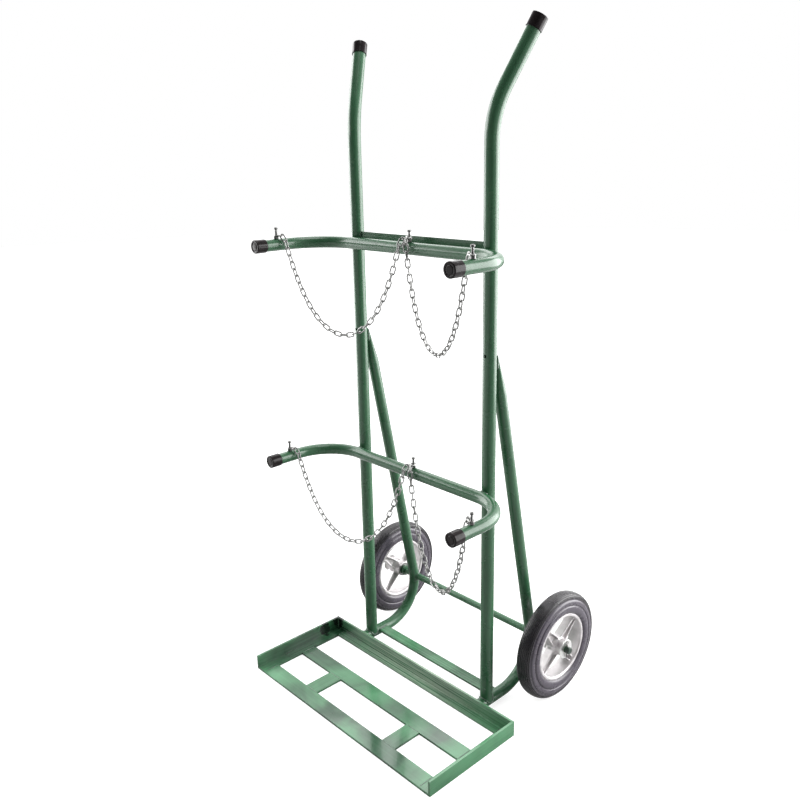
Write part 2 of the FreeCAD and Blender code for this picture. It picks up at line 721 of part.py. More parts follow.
studs, nuts = [], []
for level, height in (("upper", s.upper_hoop_height), ("lower", s.lower_hoop_height)):
    for spot, x, y in stud_spots:
        name = "%s_%s" % (level, spot)
        foot = height + tube_radius
        shank = cylinder(name + "_shank", s.stud_diameter / 2, s.stud_depth + s.stud_rise)
        place(shank, x, y, foot - s.stud_depth)
        head = hexagon(name + "_head", s.hex_width, s.head_thickness)
        place(head, x, y, foot + s.stud_rise - s.head_thickness)
        studs.append(fuse(name + "_stud", [shank, head]))
        nut = hexagon(name + "_nut_blank", s.hex_width, s.nut_thickness)
        place(nut, x, y, foot)
        bore = cylinder(name + "_nut_bore", s.stud_diameter / 2, s.nut_thickness + 2 * OVERRUN)
        place(bore, x, y, foot - OVERRUN)
        nuts.append(cut(name + "_nut", nut, bore))
node(group("chain_stud_set", studs), "chain_studs")
node(group("chain_nut_set", nuts), "chain_stud_nuts")


# ---------------------------------------------------------------- chains

wire_radius = s.wire.value / 2
link_bend = s.link_inner_width.value / 2 + wire_radius
link_half = s.link_inner_length.value / 2 - s.link_inner_width.value / 2
pitch = s.link_inner_length.value - s.link_play.value
REST_GAP = 0.05  # height that a hooked link lies above the nut or the link below it
UNTWIST_LINKS = 6
LINK_COUNTS = {"upper_left": 33, "upper_right": 33, "lower_left": 33, "lower_right": 35}
PULL_RANGE = (0.05, 500.0)  # sideways pull at a chain's end, in weights of one link
HALVINGS = 70


def link_shape():
    """One welded link: long axis local X, lying in the local XY plane."""
    parts = []
    for sign in (-1, 1):
        parts.append(Part.makeCylinder(
            wire_radius, 2 * link_half, Vector(-link_half, sign * link_bend, 0), Vector(1, 0, 0)))
        bend = Part.makeTorus(link_bend, wire_radius, Vector(0, 0, 0), Vector(0, 0, 1),
                              -180, 180, 180)
        bend.Placement = Placement(Vector(sign * link_half, 0, 0),
                                   Rotation(Vector(0, 0, 1), -90 * sign))
        parts.append(bend)
    return parts[0].fuse(parts[1:]).removeSplitter()


LINK = link_shape()


def set_link(start, end, flat):
    """Copy of the link between two joints, its plane normal nearest to flat."""
    along = (end - start).normalize()
    normal = (flat - along * flat.dot(along)).normalize()
    turn = Rotation(along, normal.cross(along), normal, "XZY")
    item = LINK.copy()
    item.Placement = Placement((start + end) * 0.5, turn)
    return item


def hanging_joints(start, end, count):
    """Joints of a chain of equal links hanging between two points."""
    span, rise = math.hypot(end.x - start.x, end.y - start.y), end.z - start.z
    level = Vector(end.x - start.x, end.y - start.y, 0).normalize()

    def chord_end(pull, lift):
        # each link hangs along the local tension: sideways pull, growing weight
        x = z = 0.0
        for index in range(count):
            angle = math.atan2(index + 0.5 - lift, pull)
            x, z = x + pitch * math.cos(angle), z + pitch * math.sin(angle)
        return x, z

    low, high = PULL_RANGE
    for _ in range(HALVINGS):
        pull = math.sqrt(low * high)
        down, up = 0.0, float(count)
        for _ in range(HALVINGS):
            lift = (down + up) / 2
            if chord_end(pull, lift)[1] > rise:
                down = lift
            else:
                up = lift
        if chord_end(pull, lift)[0] > span:
            high = pull
        else:
            low = pull
    joints, spot = [start], start
    for index in range(count):
        angle = math.atan2(index + 0.5 - lift, pull)
        spot = spot + level * (pitch * math.cos(angle)) + Vector(0, 0, pitch * math.sin(angle))
        joints.append(spot)
    return joints


nut_top = tube_radius.value + s.nut_thickness.value
half_gap = s.link_play.value / 2
first_reach = s.link_inner_length.value - s.stud_diameter.value / 2 - half_gap
slope = math.radians(s.shoulder_slope.value)
end_links = []

for level, height in (("upper", s.upper_hoop_height), ("lower", s.lower_hoop_height)):
    for side, sign in SIDES:
        arm = Vector(sign * s.hoop_half_width.value, -s.stud_reach.value, height.value)
        middle = Vector(0, hoop_back.value, height.value)
        fan = math.radians(s.middle_fan.value)
        inward = (middle - arm).normalize()
        frontward = Vector(sign * math.sin(fan), -math.cos(fan), 0)
        stack = 0.0 if side == "left" else s.wire.value + 2 * REST_GAP
        hooks = []
        for stud, away, lift in ((arm, inward, 0.0), (middle, frontward, stack)):
            rest = stud + Vector(0, 0, nut_top + wire_radius + REST_GAP + lift)
            tip = rest + away * first_reach
            back = tip - away * pitch
            down = away * math.cos(slope) - Vector(0, 0, math.sin(slope))
            # the second link's loop hangs on the first link's end wire
            hung = tip + away * (half_gap + wire_radius) - down * wire_radius
            hook = hung + down * pitch
            end_links.append(set_link(back, tip, Vector(0, 0, 1)))
            end_links.append(set_link(hung, hook, away.cross(Vector(0, 0, 1))))
            hooks.append(hook)
        start, end = hooks
        name = "%s_%s" % (level, side)
        joints = hanging_joints(start, end, LINK_COUNTS[name])
        across = Vector(end.x - start.x, end.y - start.y, 0).normalize()
        sideways = across.cross(Vector(0, 0, 1))
        twists = [inward.cross(Vector(0, 0, 1)), Vector(0, 0, 1).cross(frontward)]
        links = []
        for index, (here, there) in enumerate(zip(joints, joints[1:])):
            # the chain untwists over its first and last links
            near = min(index, len(joints) - 2 - index)
            share = max(0.0, 1 - near / UNTWIST_LINKS)
            twist = twists[0 if index < len(joints) / 2 else 1]
            level_side = (sideways * (1 - share) + twist * share).normalize()
            # every second link stands on edge in the chain's own hanging plane
            flat = level_side if index % 2 else (there - here).cross(level_side).normalize()
            links.append(set_link(here, there, flat))
        chain = doc.addObject("Part::Feature", name + "_chain")
        chain.Shape = Part.makeCompound(links)
        node(chain, name + "_chain")
        print("SWING", name, [round(c, 3) for c in start], [round(c, 3) for c in end],
              "lowest", round(min(j.z for j in joints), 1))

ends = doc.addObject("Part::Feature", "chain_end_links")
ends.Shape = Part.makeCompound(end_links)
node(ends, "chain_end_links")


# ---------------------------------------------------------------- check and export

doc.recompute()
for item in doc.Objects:
    state = " ".join(item.State)
    if "Invalid" in state or "Error" in state:
        raise RuntimeError("%s is in state %s" % (item.Name, state))
for item in NODES:
    if item.Shape.isNull() or not item.Shape.isValid():
        raise RuntimeError("%s has no valid shape" % item.Label)
for item in NODES:
    item.Shape.exportStep("parts/%s.step" % item.Label)
    bounds = item.Shape.BoundBox
    print("%-24s solids %2d  x %.1f..%.1f  y %.1f..%.1f  z %.1f..%.1f" % (
        item.Label, len(item.Shape.Solids), bounds.XMin, bounds.XMax,
        bounds.YMin, bounds.YMax, bounds.ZMin, bounds.ZMax))
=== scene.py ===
import json
import math

import bmesh
import bpy
from mathutils import Matrix, Vector, noise


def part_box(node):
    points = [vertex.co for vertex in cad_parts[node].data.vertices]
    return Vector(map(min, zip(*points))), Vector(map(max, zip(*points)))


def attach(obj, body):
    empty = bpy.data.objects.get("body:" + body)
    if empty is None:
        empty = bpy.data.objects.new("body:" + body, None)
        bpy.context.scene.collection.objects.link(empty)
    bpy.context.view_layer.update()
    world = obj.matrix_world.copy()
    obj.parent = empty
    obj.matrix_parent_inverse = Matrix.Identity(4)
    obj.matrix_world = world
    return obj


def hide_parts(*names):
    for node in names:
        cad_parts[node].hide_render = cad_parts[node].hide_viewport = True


# Looks for the two-bottle gas cart: metres, +X across the cart, -Y the tray side, +Z up.
# Caps, washers, tyres, studs, nuts and welds are drawn in millimetres and scaled by MM_TO_M.

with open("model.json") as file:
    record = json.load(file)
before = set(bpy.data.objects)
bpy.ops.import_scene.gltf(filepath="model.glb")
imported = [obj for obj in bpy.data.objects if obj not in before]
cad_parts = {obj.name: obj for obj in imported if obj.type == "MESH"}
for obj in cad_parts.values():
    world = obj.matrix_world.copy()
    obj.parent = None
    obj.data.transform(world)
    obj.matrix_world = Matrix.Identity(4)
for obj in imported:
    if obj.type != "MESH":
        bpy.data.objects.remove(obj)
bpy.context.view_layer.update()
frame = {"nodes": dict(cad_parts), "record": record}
nodes = frame["nodes"]
scene = bpy.context.scene

MM = 0.001
MM_TO_M = Matrix.Scale(MM, 4)
UP = Vector((0, 0, 1))
SIDES = (("left", -1), ("right", 1))
LEVELS = ("upper", "lower")


def middle(name):
    """Middle of a node's box."""
    low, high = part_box(name)
    return (Vector(low) + Vector(high)) / 2


def angles(count):
    """Evenly spread angles round a full turn."""
    return [2 * math.pi * step / count for step in range(count)]


# ---------------------------------------------------------------- camera

AZIMUTH, PITCH, ROLL = math.radians(46.74), math.radians(16.95), math.radians(-1.05)
CAMERA_AT = Vector((1.25023, -1.20490, 1.20470))

forward = Vector((-math.sin(AZIMUTH) * math.cos(PITCH), math.cos(AZIMUTH) * math.cos(PITCH),
                  -math.sin(PITCH)))
level_right = Vector((math.cos(AZIMUTH), math.sin(AZIMUTH), 0))
level_up = level_right.cross(forward)
camera_right = level_right * math.cos(ROLL) + level_up * math.sin(ROLL)
camera_up = level_up * math.cos(ROLL) - level_right * math.sin(ROLL)

camera_data = bpy.data.cameras.new("camera")
camera_data.lens, camera_data.sensor_width = 37.18, 36
camera_data.shift_x, camera_data.shift_y = -0.0150, 0.0073
camera_data.clip_start, camera_data.clip_end = 0.05, 100
camera = bpy.data.objects.new("camera", camera_data)
camera_turn = Matrix((camera_right, camera_up, -forward)).transposed().to_4x4()
camera.matrix_world = Matrix.Translation(CAMERA_AT) @ camera_turn
scene.collection.objects.link(camera)
scene.camera = camera


# ---------------------------------------------------------------- softboxes

scene.view_settings.view_transform = "Standard"
scene.view_settings.look = "None"

AWAY = Vector((forward.x, forward.y, 0)).normalized()
MIDDLE = Vector((0, -0.05, 0.6))

# right of the cart's middle as the camera sees it, behind it, above the floor (metres),
# width, height (metres), power (watts), point it faces
SOFTBOXES = {
    "right_softbox": (2.35, 0.36, 1.10, 2.9, 2.5, 168, MIDDLE),
    "left_softbox": (-2.0, 1.3, 1.2, 1.9, 2.5, 80, MIDDLE),
    "back_softbox": (0.2, 2.0, 2.3, 2.6, 0.9, 20, Vector((0, -0.2, 0.1))),
    "front_softbox": (-2.3, 0.1, 1.72, 0.9, 0.36, 8, MIDDLE),
    "top_softbox": (0.1, 0.2, 3.3, 1.6, 1.6, 34, MIDDLE),
}

for name, (sideways, behind, lift, width, height, power, target) in SOFTBOXES.items():
    data = bpy.data.lights.new(name, "AREA")
    data.shape = "RECTANGLE"
    data.size, data.size_y, data.energy = width, height, power
    lamp = bpy.data.objects.new(name, data)
    scene.collection.objects.link(lamp)
    lamp.location = (Vector((MIDDLE.x, MIDDLE.y, 0)) + level_right * sideways + AWAY * behind
                     + UP * lift)
    lamp.rotation_euler = (target - lamp.location).to_track_quat("-Z", "Y").to_euler()


# ---------------------------------------------------------------- shader nodes

GIVE_NUMBERS = ("LENGTH", "DISTANCE", "DOT_PRODUCT")
BEVEL_SAMPLES = 4


def grey(value):
    return (value, value, value)


class Graph:
    """Shader nodes of a world or a material."""

    def __init__(self, owner):
        owner.use_nodes = True
        self.tree = owner.node_tree
        self.tree.nodes.clear()

    def add(self, kind, **settings):
        node = self.tree.nodes.new(kind)
        for key, value in settings.items():
            setattr(node, key, value)
        return node

    def feed(self, socket, value):
        """Join a socket to a source, or set it to a constant; colours have three values."""
        if isinstance(value, bpy.types.NodeSocket):
            self.tree.links.new(value, socket)
        elif socket.type == "RGBA":
            socket.default_value = (*value, 1)
        else:
            socket.default_value = value

    def feed_all(self, node, values):
        for socket, value in zip(node.inputs, values):
            self.feed(socket, value)

    def calc(self, operation, *values):
        """Result of an operation on numbers."""
        node = self.add("ShaderNodeMath", operation=operation)
        self.feed_all(node, values)
        return node.outputs[0]

    def calc_vector(self, operation, *values):
        """Result of an operation on vectors."""
        node = self.add("ShaderNodeVectorMath", operation=operation)
        self.feed_all(node, values)
        return node.outputs["Value" if operation in GIVE_NUMBERS else "Vector"]

    def span(self, source, to, within=(0.25, 0.75)):
        """Source's range within is stretched to the range to, and clamped there."""
        node = self.add("ShaderNodeMapRange")
        self.feed_all(node, (source, *within, *to))
        return node.outputs[0]

    def ramp(self, source, *stops):
        """Colour ramp over (position, colour) stops."""
        node = self.add("ShaderNodeValToRGB")
        elements = node.color_ramp.elements
        while len(elements) < len(stops):
            elements.new(0.5)
        for element, (spot, colour) in zip(elements, stops):
            element.position = spot
            element.color = (*colour, 1)
        self.feed(node.inputs[0], source)
        return node.outputs[0]


class Material(Graph):
    """Node material that is read from the object's own coordinates, in metres."""

    def __init__(self, name):
        self.material = bpy.data.materials.new(name)
        super().__init__(self.material)
        self.shader = self.add("ShaderNodeBsdfPrincipled")
        self.feed(self.add("ShaderNodeOutputMaterial").inputs[0], self.shader.outputs[0])
        self.place = self.add("ShaderNodeTexCoord").outputs["Object"]

    def shade(self, **values):
        """Set the shader's sockets, spaces written as _, to sources or constants."""
        for name, value in values.items():
            self.feed(self.shader.inputs[name.replace("_", " ")], value)

    def noise(self, scale, detail, rough=0.5, stretch=None, distortion=0.0):
        """Noise value; stretch scales the axes first."""
        node = self.add("ShaderNodeTexNoise")
        for name, value in (("Scale", scale), ("Detail", detail), ("Roughness", rough),
                            ("Distortion", distortion)):
            node.inputs[name].default_value = value
        source = self.place
        if stretch:
            mapping = self.add("ShaderNodeMapping")
            mapping.inputs["Scale"].default_value = stretch
            self.feed(mapping.inputs["Vector"], source)
            source = mapping.outputs[0]
        self.feed(node.inputs["Vector"], source)
        return node.outputs["Fac"]

    def mottle(self, source, colours, start=0.3, end=0.75):
        """Dark to pale colour as the source goes from start to end."""
        dark, pale = colours
        return self.ramp(source, (start, dark), (end, pale))

    def blend(self, share, one, other):
        node = self.add("ShaderNodeMix", data_type="RGBA")
        for index, value in ((0, share), (6, one), (7, other)):
            self.feed(node.inputs[index], value)
        return node.outputs[2]

    def ragged(self, spot, edge, amount):
        """Distance to a spot, made uneven by a noise value."""
        return self.calc("MULTIPLY_ADD", edge, amount,
                         self.calc_vector("DISTANCE", self.place, spot))

    def bump(self, *layers, soften=0.0):
        """Stack of (height source, depth in metres) bumps, over rounded edges if soften is set."""
        normal = None
        if soften:
            bevel = self.add("ShaderNodeBevel", samples=BEVEL_SAMPLES)
            bevel.inputs["Radius"].default_value = soften
            normal = bevel.outputs[0]
        for source, depth in layers:
            node = self.add("ShaderNodeBump")
            node.inputs["Strength"].default_value = 1.0
            node.inputs["Distance"].default_value = depth
            self.feed(node.inputs["Height"], source)
            if normal is not None:
                self.feed(node.inputs["Normal"], normal)
            normal = node.outputs[0]
        self.shade(Normal=normal)


# ---------------------------------------------------------------- world and floor

# brightness over how far a direction points along an axis, from opposite (0) to along it (1)
ROOM_LIGHT = (
    (AWAY, ((0.0, 0.12), (0.50, 0.16), (0.66, 1.1), (0.80, 1.7), (1.0, 1.8))),
    (level_right, ((0.0, 0.70), (0.16, 0.30), (0.55, 0.10), (0.78, 0.9), (1.0, 1.5))),
    (UP, ((0.0, 0.3), (0.5, 0.0), (0.84, 0.22), (1.0, 0.40))),
)
WHITE = grey(1)
PAPER = grey(0.42), grey(0.45)
PAPER_GLOW, PAPER_GLOW_REACH = (0.74, 1.2), (0.9, 3.5)
GLARE, GLARE_REACH = (0.0, 1.1), (0.7, 2.4)
FLOOR_RADIUS, FLOOR_DROP = 12.0, 0.0003


def studio(world):
    """Bright room behind and beside the cart, dark on the camera's side, on a white backdrop."""
    g = Graph(world)
    output = g.add("ShaderNodeOutputWorld")
    direction = g.add("ShaderNodeTexCoord").outputs["Generated"]
    glow = 0.0
    for axis, stops in ROOM_LIGHT:
        along = g.span(g.calc_vector("DOT_PRODUCT", direction, axis), (0, 1), (-1, 1))
        glow = g.calc("MAXIMUM", glow, g.ramp(along, *((spot, grey(v)) for spot, v in stops)))
    room = g.add("ShaderNodeBackground")
    g.feed(room.inputs["Strength"], glow)
    backdrop = g.add("ShaderNodeBackground")
    g.feed(backdrop.inputs["Color"], WHITE)
    mix = g.add("ShaderNodeMixShader")
    g.feed_all(mix, (g.add("ShaderNodeLightPath").outputs["Is Camera Ray"], room.outputs[0],
                     backdrop.outputs[0]))
    g.feed(output.inputs[0], mix.outputs[0])


def floor_paper():
    """Pale paper that runs into the backdrop with distance, with a glare on its left side."""
    m = Material("floor_paper")
    m.shade(Base_Color=m.mottle(m.noise(1.5, 3), PAPER, 0.3, 0.8), Roughness=0.9,
            Specular_IOR_Level=0.1, Emission_Color=WHITE)
    distance = m.calc_vector("LENGTH", m.place)
    leftward = m.calc_vector("DOT_PRODUCT", m.place, -level_right)
    path = m.add("ShaderNodeLightPath")
    seen = m.calc("MULTIPLY", m.span(distance, PAPER_GLOW, PAPER_GLOW_REACH),
                  path.outputs["Is Camera Ray"])
    m.shade(Emission_Strength=m.calc("MULTIPLY_ADD", m.span(leftward, GLARE, GLARE_REACH),
                                     path.outputs["Is Glossy Ray"], seen))
    return m.material


scene.world = bpy.data.worlds.new("studio")
studio(scene.world)

floor_mesh = bpy.data.meshes.new("floor")
floor_grid = bmesh.new()
bmesh.ops.create_circle(floor_grid, cap_ends=True, segments=96, radius=FLOOR_RADIUS)
floor_grid.to_mesh(floor_mesh)
floor_grid.free()
floor_mesh.materials.append(floor_paper())
floor = bpy.data.objects.new("floor", floor_mesh)
floor.location.z = -FLOOR_DROP
scene.collection.objects.link(floor)


# ---------------------------------------------------------------- materials

# linear colours of each mottle, dark to pale
ENAMEL = (0.021, 0.076, 0.035), (0.033, 0.111, 0.052)
ENAMEL_GRAIN = (0.015, 0.057, 0.025), (0.040, 0.124, 0.060)
WELD_ENAMEL = (0.014, 0.046, 0.024), (0.034, 0.100, 0.050)
AXLE_ENAMEL = (0.025, 0.098, 0.042), (0.036, 0.128, 0.058)
AXLE_END = (0.006, 0.018, 0.011), (0.016, 0.040, 0.025)
TRAY_ENAMEL = (0.014, 0.056, 0.026), (0.038, 0.140, 0.062), (0.066, 0.222, 0.104)
# streak colours along the bar: rolled grain, partly painted reflection lines
STREAK_SHADES_AND_REFLECTIONS = (0.014, 0.056, 0.024), (0.110, 0.270, 0.145)
# painted dark reflection shade for the tray's bars, and painted pale reflection streak for the
# back angle
PAINTED_REFLECTION_SHADE, PAINTED_REFLECTION_STREAK = (0.012, 0.046, 0.022), (0.30, 0.38, 0.29)
# colours of the two dark patches beside the back left weld
DARK_PATCH_SHADES = (0.003, 0.006, 0.004), (0.009, 0.018, 0.012)
BLACK = (0.0060, 0.0045, 0.0050), (0.016, 0.012, 0.013)
# tyre rubber: wall painted paler as lit, tread painted darker as shaded
TYRE_WALL_PAINTED_LIT = (0.042, 0.0355, 0.0470), (0.078, 0.0690, 0.0880)
TYRE_TREAD_PAINTED_SHADED = (0.0080, 0.0070, 0.0090), (0.0170, 0.0150, 0.0190)
ALUMINIUM = (0.49, 0.47, 0.475), (0.72, 0.70, 0.705)
BUSH = (0.55, 0.54, 0.50), (0.68, 0.67, 0.63)
ZINC_WARMTH = 0.98

TRAY_LEVEL = 0.005
# painted dark reflections of the frame on the tray's bars: x, y, and how far each one reaches
PAINTED_DARK_REFLECTIONS = ((0.065, -0.151, 0.075), (-0.028, -0.262, 0.055), (0.235, -0.262, 0.050),
               (-0.285, -0.215, 0.060))
DARK_REFLECTION_DEPTH, DARK_REFLECTION_CORE, DARK_REFLECTION_EDGE, DARK_REFLECTION_RAGGED = 0.72, 0.75, 1.7, 0.09
# the two dark patches beside the back left weld, and how far each one reaches
DARK_PATCHES = (((-0.296, -0.079, 0.022), 0.018), ((-0.292, -0.032, 0.026), 0.016))
DARK_PATCH_DEPTH, DARK_PATCH_CORE, DARK_PATCH_EDGE, DARK_PATCH_RAGGED = 0.97, 0.013, 0.019, 0.030
# painted pale reflection streaks on the back angle, round its middle
REFLECTION_STREAK_MIDDLE, REFLECTION_STREAK_REACH = (0.0, -0.032, 0.02), (0.06, 0.26)
# distance from the cart's middle where the axle's enamel is worn off
AXLE_WEAR = 0.2955, 0.3005
# radius where the tyre's wall, painted paler as lit, turns into its tread, painted darker as
# shaded
LIT_WALL_TO_SHADED_TREAD = 0.1110, 0.1165


def green_paint():
    m = Material("green_enamel")
    colour = m.mottle(m.noise(5.0, 3), ENAMEL, 0.30, 0.70)
    grain = m.mottle(m.noise(60.0, 4, rough=0.6), ENAMEL_GRAIN, 0.35, 0.75)
    m.shade(Base_Color=m.blend(0.12, colour, grain),
            Roughness=m.span(m.noise(18.0, 4, rough=0.6), (0.20, 0.34)),
            Coat_Weight=0.15, Coat_Roughness=0.08, Specular_IOR_Level=0.42)
    m.bump((m.noise(16.0, 2), 0.0007), (m.noise(300.0, 2), 0.00002), soften=0.0009)
    return m.material


def tray_paint(name, grain, strength, pale=0.0):
    """Tray enamel: cloudy and brushed along the bar, with painted reflections (dark patches on the
    bars, pale streaks on the back angle where pale is set, reflection lines in the streaks), and
    darker in two patches round the back left weld.
    """
    m = Material(name)
    streaks = m.noise(1.0, 4, rough=0.7, stretch=grain)
    cloud = m.noise(6.0, 3, rough=0.45, distortion=0.6)
    colour = m.ramp(cloud, *zip((0.38, 0.47, 0.60), TRAY_ENAMEL))
    # streaks along the bar: rolled grain, partly painted reflection lines
    colour = m.blend(strength, colour, m.mottle(streaks, STREAK_SHADES_AND_REFLECTIONS, 0.38, 0.62))
    edge = m.noise(14.0, 3)
    # painted dark reflections of the frame over the tray's bars
    for x, y, size in PAINTED_DARK_REFLECTIONS:
        away = m.ragged((x, y, TRAY_LEVEL), edge, DARK_REFLECTION_RAGGED)
        share = m.span(away, (DARK_REFLECTION_DEPTH, 0.0), (size * DARK_REFLECTION_CORE, size * DARK_REFLECTION_EDGE))
        colour = m.blend(share, colour, PAINTED_REFLECTION_SHADE)
    # painted pale reflection streaks, strongest round the back angle's middle; pale sets their
    # share
    if pale:
        away = m.calc_vector("DISTANCE", m.place, REFLECTION_STREAK_MIDDLE)
        share = m.calc("MULTIPLY", m.span(streaks, (0.0, 1.0), (0.44, 0.58)),
                       m.span(away, (pale, 0.0), REFLECTION_STREAK_REACH))
        colour = m.blend(share, colour, PAINTED_REFLECTION_STREAK)
    # two dark patches beside the back left weld
    dark_patch_colour = m.mottle(m.noise(150.0, 3), DARK_PATCH_SHADES, 0.3, 0.7)
    edge = m.noise(70.0, 3, rough=0.6)
    for spot, size in DARK_PATCHES:
        away = m.ragged(spot, edge, DARK_PATCH_RAGGED)
        share = m.span(away, (DARK_PATCH_DEPTH, 0.0), (size + DARK_PATCH_CORE, size + DARK_PATCH_EDGE))
        colour = m.blend(share, colour, dark_patch_colour)
    m.shade(Base_Color=colour, Coat_Weight=0.3, Coat_Roughness=0.05,
            Roughness=m.span(m.blend(strength, cloud, streaks), (0.10, 0.28), (0.3, 0.7)))
    m.bump((m.noise(9.0, 2), 0.0014), (streaks, 0.00035 * strength), soften=0.0010)
    return m.material


def welded_paint():
    """The same enamel over weld metal: darker, with a rougher skin."""
    m = Material("green_enamel_on_welds")
    m.shade(Base_Color=m.mottle(m.noise(260.0, 3, rough=0.6), WELD_ENAMEL),
            Roughness=m.span(m.noise(120.0, 3, rough=0.6), (0.22, 0.45)),
            Coat_Weight=0.6, Coat_Roughness=0.10)
    m.bump((m.noise(300.0, 3), 0.00025))
    return m.material


def axle_paint():
    """The frame's enamel, worn to dark metal on the axle's ends."""
    m = Material("green_enamel_on_axle")
    position = m.add("ShaderNodeSeparateXYZ")
    m.feed(position.inputs[0], m.place)
    worn = m.span(m.calc("ABSOLUTE", position.outputs["X"]), (0.0, 1.0), AXLE_WEAR)
    m.shade(Base_Color=m.blend(worn, m.mottle(m.noise(60.0, 3), AXLE_ENAMEL, 0.3, 0.7),
                               m.mottle(m.noise(400.0, 3), AXLE_END, 0.3, 0.7)),
            Roughness=m.span(m.noise(90.0, 3), (0.20, 0.42)))
    m.bump((m.noise(300.0, 2), 0.00003))
    return m.material


def black_plastic():
    m = Material("black_cap_plastic")
    m.shade(Base_Color=m.mottle(m.noise(90.0, 4, rough=0.6), BLACK),
            Roughness=m.span(m.noise(60.0, 4, rough=0.6), (0.10, 0.24)),
            Specular_IOR_Level=0.16)
    m.bump((m.noise(60.0, 2), 0.0006), (m.noise(900.0, 3), 0.00002))
    return m.material


def zinc_steel(name, shade, spread):
    """Zinc plate: grey metal with darker patches and a fine frosted grain."""
    m = Material(name)
    levels = shade - spread / 2, shade + spread / 2
    colours = [(level, level, level * ZINC_WARMTH) for level in levels]
    m.shade(Metallic=1.0, Base_Color=m.mottle(m.noise(160.0, 3), colours),
            Roughness=m.span(m.noise(300.0, 3), (0.24, 0.44)))
    m.bump((m.noise(700.0, 3), 0.00004), soften=0.0003)
    return m.material


def tyre_rubber():
    m = Material("tyre_rubber")
    axle = middle("left_wheel_tyre")
    radius = m.calc_vector("LENGTH", m.calc_vector("MULTIPLY_ADD", m.place, (0, 1, 1),
                                                   (0, -axle.y, -axle.z)))
    patches = m.noise(22.0, 4, rough=0.6)
    # wall painted paler and tread darker: painted light and shade on one rubber
    m.shade(Base_Color=m.blend(m.span(radius, (0.0, 1.0), LIT_WALL_TO_SHADED_TREAD),
                               m.mottle(patches, TYRE_WALL_PAINTED_LIT, 0.3, 0.8),
                               m.mottle(patches, TYRE_TREAD_PAINTED_SHADED, 0.3, 0.8)),
            Roughness=m.span(m.noise(40.0, 4, rough=0.6), (0.20, 0.34)))
    m.bump((m.noise(35.0, 3), 0.0003))
    return m.material


def cast_aluminium():
    m = Material("cast_aluminium")
    m.shade(Metallic=1.0, Base_Color=m.mottle(m.noise(55.0, 4, rough=0.6), ALUMINIUM),
            Roughness=m.span(m.noise(110.0, 4, rough=0.6), (0.44, 0.64)))
    m.bump((m.noise(45.0, 3), 0.0004), (m.noise(800.0, 3), 0.00006))
    return m.material


def bush_plastic():
    m = Material("bush_plastic")
    m.shade(Base_Color=m.mottle(m.noise(120.0, 3), BUSH),
            Roughness=m.span(m.noise(200.0, 3), (0.35, 0.5)))
    m.bump((m.noise(700.0, 2), 0.00003), soften=0.0004)
    return m.material


FINISHES = {"green_paint": green_paint(), "black_cap": black_plastic(),
            "zinc_steel": zinc_steel("bright_zinc", 0.27, 0.16), "tyre_rubber": tyre_rubber(),
            "cast_aluminium": cast_aluminium(), "bush_plastic": bush_plastic()}
DARK_ZINC = zinc_steel("dull_zinc", 0.16, 0.12)

for part in frame["record"]["subparts"]:
    mesh = nodes[part["node"]].data
    mesh.materials.clear()
    mesh.materials.append(FINISHES[part["material_slot"]])

ALONG_X, ALONG_Y = (2.2, 190.0, 190.0), (190.0, 2.2, 190.0)
SPECIAL_FINISHES = (
    # pale sets the share of the painted pale reflection streaks on the back angle
    (tray_paint("green_enamel_back_angle", ALONG_X, 0.55, pale=0.8), ["tray_back_angle"]),
    (tray_paint("green_enamel_long_bars", ALONG_X, 0.10), ["tray_front_bar", "tray_middle_bar"]),
    (tray_paint("green_enamel_foot_bar", ALONG_X, 0.45), ["foot_cross_bar"]),
    (tray_paint("green_enamel_short_bars", ALONG_Y, 0.14),
     ["tray_left_angle", "tray_right_angle", "tray_left_cross_bar", "tray_right_cross_bar"]),
    (axle_paint(), ["axle_rod"]),
    (DARK_ZINC, ["axle_split_pins"]),
)
for finish, names in SPECIAL_FINISHES:
    for name in names:
        nodes[name].data.materials[0] = finish


# ---------------------------------------------------------------- mesh helpers

def add_piece(name, shells, slot, body="frame", hides=(), finish=None):
    """Object made of closed shells, each a list of points and a list of faces."""
    points, faces = [], []
    for shell_points, shell_faces in shells:
        first = len(points)
        points += shell_points
        faces += [[first + corner for corner in face] for face in shell_faces]
    mesh = bpy.data.meshes.new(name)
    mesh.from_pydata([tuple(point) for point in points], [], faces)
    grid = bmesh.new()
    grid.from_mesh(mesh)
    bmesh.ops.remove_doubles(grid, verts=grid.verts, dist=1e-7)
    bmesh.ops.recalc_face_normals(grid, faces=grid.faces)
    for face in grid.faces:
        face.smooth = True
    grid.to_mesh(mesh)
    grid.free()
    mesh.materials.append(finish or FINISHES[slot])
    piece = bpy.data.objects.new(name, mesh)
    scene.collection.objects.link(piece)
    piece.modifiers.new("weighted_normals", "WEIGHTED_NORMAL")
    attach(piece, body)
    if hides:
        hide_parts(*hides)


def rounded(outline, radius, steps=3):
    """Outline with every corner rounded; a corner may bring its own radius as a third value."""
    result = []
    count = len(outline)
    for index, corner in enumerate(outline):
        here = Vector(corner[:2])
        size = corner[2] if len(corner) > 2 else radius
        if not size:
            result.append(here)
            continue
        before = Vector(outline[index - 1][:2]) - here
        after = Vector(outline[(index + 1) % count][:2]) - here
        cut = min(size, before.length * 0.45, after.length * 0.45)
        start, end = here + before.normalized() * cut, here + after.normalized() * cut
        for step in range(steps + 1):
            share = step / steps
            result.append(start.lerp(here, share).lerp(here.lerp(end, share), share))
    return result


def pose(origin, axis):
    """Matrix that takes local Z, in millimetres, to an axis through a point in metres."""
    turn = Vector(axis).to_track_quat("Z", "Y").to_matrix().to_4x4()
    return Matrix.Translation(origin) @ turn @ MM_TO_M


